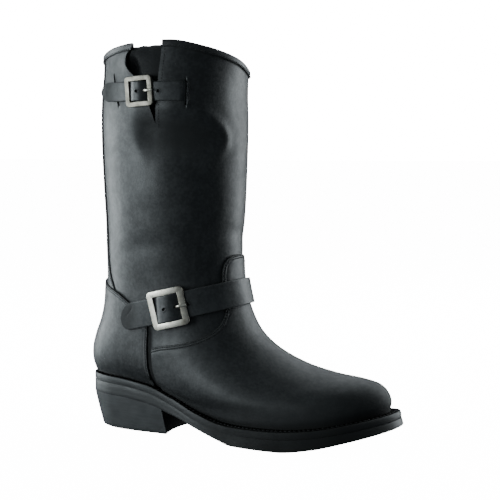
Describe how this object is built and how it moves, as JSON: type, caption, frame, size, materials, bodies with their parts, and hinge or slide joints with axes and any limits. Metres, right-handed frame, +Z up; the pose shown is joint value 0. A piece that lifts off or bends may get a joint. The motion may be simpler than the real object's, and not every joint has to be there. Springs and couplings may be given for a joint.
{
  "type": "biker boot",
  "caption": "Pull-on biker boot of the engineer pattern in oiled black leather, tall shaft, buckled ankle and top straps, stacked heel; stands empty on its sole.",
  "frame": {"origin": "on the floor plane, under the middle of the heel's flat bottom", "axes": "+X towards the toe, +Y towards the inner side of the foot, +Z up; the buckles are on the -Y side"},
  "size_m": [0.3046, 0.1334, 0.3604],
  "materials": {
    "shaft_leather": "matt oiled, fine grain",
    "vamp_leather": "matt oiled with a soft sheen",
    "counter_leather": "matt oiled, faintly creased",
    "gusset_leather": "soft, matt",
    "binding_leather": "folded strip, matt",
    "strap_leather": "matt oiled, cut edges",
    "buckle_metal": "brushed old nickel, satin",
    "insole_leather": "bare, matt",
    "midsole_rubber": "satin",
    "outsole_rubber": "satin",
    "heel_rubber": "satin"
  },
  "bodies": {
    "root": {"upper": "shaft_leather", "vamp": "vamp_leather", "counter": "counter_leather", "gusset": "gusset_leather", "collar_binding": "binding_leather", "ankle_strap": "strap_leather", "ankle_buckle": "buckle_metal", "ankle_prong": "buckle_metal", "top_strap": "strap_leather", "top_buckle": "buckle_metal", "top_prong": "buckle_metal", "insole": "insole_leather", "midsole": "midsole_rubber", "outsole": "outsole_rubber", "heel": "heel_rubber"}
  },
  "joints": []
}
